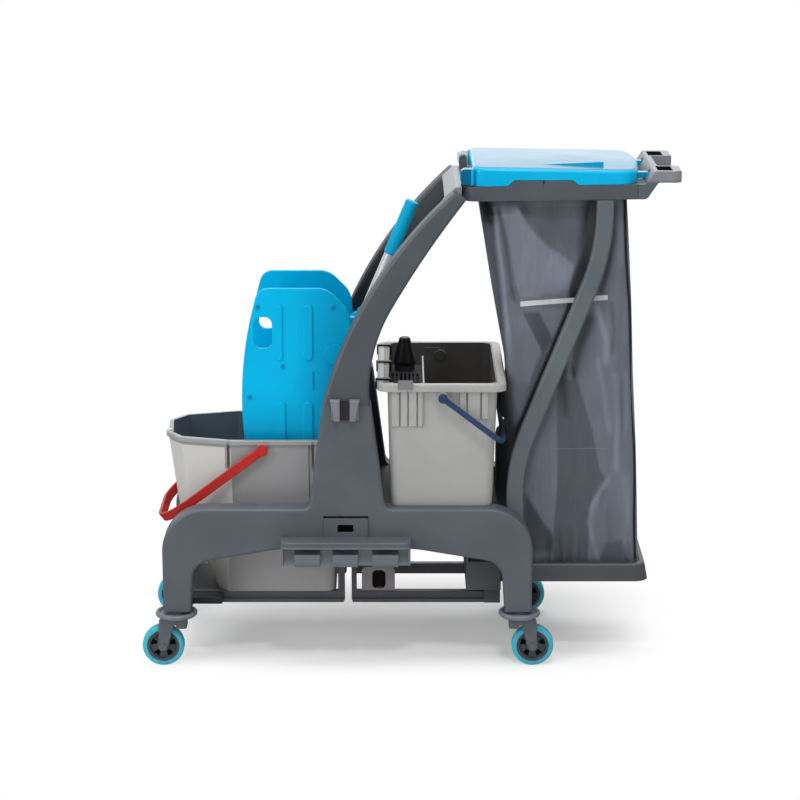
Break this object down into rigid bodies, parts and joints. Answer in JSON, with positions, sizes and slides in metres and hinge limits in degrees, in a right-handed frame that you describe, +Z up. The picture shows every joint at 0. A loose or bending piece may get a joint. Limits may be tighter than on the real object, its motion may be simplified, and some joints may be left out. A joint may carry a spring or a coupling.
{
  "type": "cleaning cart",
  "caption": "Moulded cleaning cart on swivel casters with a pointed mop bucket and lever press, an upper divided bucket, a tool rack and a waste bag under a hinged lid.",
  "frame": {"origin": "on the floor under the middle of the cart's outer box", "axes": "+X from the mop bucket to the bag, +Y away from the side with the tool rack, +Z up"},
  "size_m": [1.0154, 0.401, 0.9655],
  "materials": {
    "frame_plastic": "fine moulded grain, slightly glossy",
    "rail_plastic": "satin",
    "top_plastic": "satin",
    "bumper_plastic": "satin",
    "fork_plastic": "satin",
    "hub_plastic": "satin",
    "tyre_blue": "smooth",
    "steel": "bright",
    "lid_blue": "glossy",
    "bag_fabric": "coated, slight sheen",
    "bucket_plastic": "satin",
    "bail_red": "glossy",
    "bail_navy": "glossy",
    "press_plastic": "satin gloss",
    "tube_steel": "polished",
    "grip_blue": "satin",
    "dark_plastic": "satin"
  },
  "bodies": {
    "frame": {"side_base_near": "frame_plastic", "side_base_far": "frame_plastic", "side_arm_near": "frame_plastic", "side_arm_far": "frame_plastic", "rear_brace_near": "frame_plastic", "rear_brace_far": "frame_plastic", "pole_clips": "frame_plastic", "centre_beam": "frame_plastic", "bucket_deck": "frame_plastic", "front_cross_bar": "frame_plastic", "rear_cross_bar": "frame_plastic", "bag_platform": "frame_plastic", "top_ring": "frame_plastic", "tool_rack": "frame_plastic", "front_rail_near": "rail_plastic", "front_rail_far": "rail_plastic", "rear_rail_near": "rail_plastic", "rear_rail_far": "rail_plastic", "rail_latches": "rail_plastic", "front_apron": "top_plastic", "rear_handle": "top_plastic", "bumper_rings": "bumper_plastic", "lid_hinge_pins": "steel", "waste_bag": "bag_fabric", "bag_front_gusset": "bag_fabric"},
    "caster_front_near": {"caster_fork_front_near": "fork_plastic", "wheel_axle_front_near": "steel"},
    "wheel_front_near": {"wheel_hub_front_near": "hub_plastic", "tyre_front_near": "tyre_blue"},
    "caster_rear_near": {"caster_fork_rear_near": "fork_plastic", "wheel_axle_rear_near": "steel"},
    "wheel_rear_near": {"wheel_hub_rear_near": "hub_plastic", "tyre_rear_near": "tyre_blue"},
    "caster_front_far": {"caster_fork_front_far": "fork_plastic", "wheel_axle_front_far": "steel"},
    "wheel_front_far": {"wheel_hub_front_far": "hub_plastic", "tyre_front_far": "tyre_blue"},
    "caster_rear_far": {"caster_fork_rear_far": "fork_plastic", "wheel_axle_rear_far": "steel"},
    "wheel_rear_far": {"wheel_hub_rear_far": "hub_plastic", "tyre_rear_far": "tyre_blue"},
    "lid": {"lid": "lid_blue"},
    "mop_bucket": {"mop_bucket": "bucket_plastic"},
    "mop_bail": {"mop_bail": "bail_red"},
    "press": {"press_plate_near": "press_plastic", "press_plate_far": "press_plastic", "press_floor": "press_plastic", "front_jaw": "press_plastic", "press_screws": "steel"},
    "lever": {"pinion_shaft": "press_plastic", "lever_tube": "tube_steel", "lever_grip": "grip_blue"},
    "jaw": {"press_jaw": "press_plastic"},
    "upper_bucket": {"upper_bucket": "bucket_plastic", "bucket_divider": "bucket_plastic", "rim_clips": "dark_plastic"},
    "upper_bail": {"upper_bail": "bail_navy"},
    "sieve": {"sieve_insert": "dark_plastic"},
    "washer": {"washer_handle": "dark_plastic"}
  },
  "joints": [
    {"name": "swivel_front_near", "type": "hinge", "parent": "frame", "child": "caster_front_near", "pos_m": [-0.44175, -0.1395, 0.098], "axis": [0, 0, 1], "continuous": true},
    {"name": "spin_front_near", "type": "hinge", "parent": "caster_front_near", "child": "wheel_front_near", "pos_m": [-0.46775, -0.1395, 0.04], "axis": [0, 1, 0], "continuous": true},
    {"name": "swivel_rear_near", "type": "hinge", "parent": "frame", "child": "caster_rear_near", "pos_m": [0.21625, -0.1395, 0.098], "axis": [0, 0, 1], "continuous": true},
    {"name": "spin_rear_near", "type": "hinge", "parent": "caster_rear_near", "child": "wheel_rear_near", "pos_m": [0.24225, -0.1395, 0.04], "axis": [0, 1, 0], "continuous": true},
    {"name": "swivel_front_far", "type": "hinge", "parent": "frame", "child": "caster_front_far", "pos_m": [-0.44175, 0.1605, 0.098], "axis": [0, 0, 1], "continuous": true},
    {"name": "spin_front_far", "type": "hinge", "parent": "caster_front_far", "child": "wheel_front_far", "pos_m": [-0.46775, 0.1605, 0.04], "axis": [0, 1, 0], "continuous": true},
    {"name": "swivel_rear_far", "type": "hinge", "parent": "frame", "child": "caster_rear_far", "pos_m": [0.21625, 0.1605, 0.098], "axis": [0, 0, 1], "continuous": true},
    {"name": "spin_rear_far", "type": "hinge", "parent": "caster_rear_far", "child": "wheel_rear_far", "pos_m": [0.24225, 0.1605, 0.04], "axis": [0, 1, 0], "continuous": true},
    {"name": "lid_hinge", "type": "hinge", "parent": "frame", "child": "lid", "pos_m": [0.10875, 0.0105, 0.943], "axis": [0, -1, 0], "range_deg": [0, 100]},
    {"name": "mop_bucket_out", "type": "slide", "parent": "frame", "child": "mop_bucket", "axis": [-1, 0, 0], "range_m": [0, 0.5]},
    {"name": "mop_bail_swing", "type": "hinge", "parent": "mop_bucket", "child": "mop_bail", "pos_m": [-0.27475, 0.0105, 0.419], "axis": [0, 1, 0], "range_deg": [0, 105]},
    {"name": "press_lift", "type": "slide", "parent": "mop_bucket", "child": "press", "axis": [0, 0, 1], "range_m": [0, 0.25]},
    {"name": "lever_pull", "type": "hinge", "parent": "press", "child": "lever", "pos_m": [-0.13475, 0.0105, 0.598], "axis": [0, -1, 0], "range_deg": [0, 60]},
    {"name": "jaw_slide", "type": "slide", "parent": "press", "child": "jaw", "axis": [-1, 0, 0], "range_m": [0, 0.0377]},
    {"name": "upper_bucket_out", "type": "slide", "parent": "frame", "child": "upper_bucket", "axis": [0, -1, 0], "range_m": [0, 0.4]},
    {"name": "upper_bail_swing", "type": "hinge", "parent": "upper_bucket", "child": "upper_bail", "pos_m": [0.06725, 0.0105, 0.537], "axis": [0, -1, 0], "range_deg": [0, 127], "deforming": ["bag_front_gusset"]},
    {"name": "sieve_lift", "type": "slide", "parent": "upper_bucket", "child": "sieve", "axis": [0, 0, 1], "range_m": [0, 0.1]},
    {"name": "washer_lift", "type": "slide", "parent": "sieve", "child": "washer", "axis": [0, 0, 1], "range_m": [0, 0.15]}
  ],
  "couplings": [
    {"joint": "jaw_slide", "follows": "lever_pull", "m_per_rad": 0.036}
  ]
}
